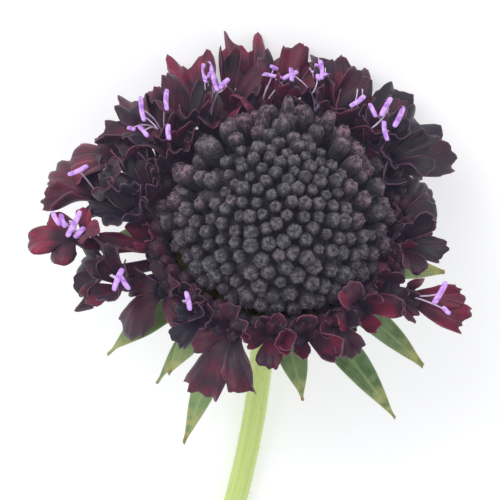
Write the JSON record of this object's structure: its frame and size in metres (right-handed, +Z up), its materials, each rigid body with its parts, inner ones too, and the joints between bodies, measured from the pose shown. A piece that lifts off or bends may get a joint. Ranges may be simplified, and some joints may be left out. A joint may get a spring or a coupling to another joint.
{
  "type": "scabiosa flower",
  "caption": "Single cut scabiosa: a dome of closed buds in a ring of dark open florets with lilac stamens, green bracts under it, on a short curved stem lying on its side.",
  "frame": {"origin": "on the table under the middle of the flower's box", "axes": "+Z up from the table, +Y from the stem's cut end towards the head, +X to the right of the head"},
  "size_m": [0.0551, 0.1182, 0.0361],
  "materials": {
    "bud": "charcoal purple, matt and finely hairy",
    "petal": "very dark maroon, velvety with a soft sheen",
    "leaf": "mid green, satin, paler at the edges and tips",
    "stalk": "pale yellow green, satin"
  },
  "bodies": {
    "root": {"bud_dome": "bud", "floret_ring": "petal", "stem": "stalk", "bract_01": "leaf", "bract_02": "leaf", "bract_03": "leaf", "bract_04": "leaf", "bract_05": "leaf", "bract_06": "leaf", "bract_07": "leaf", "bract_08": "leaf", "bract_09": "leaf", "bract_10": "leaf", "bract_11": "leaf", "bract_12": "leaf", "bract_13": "leaf"}
  },
  "joints": []
}
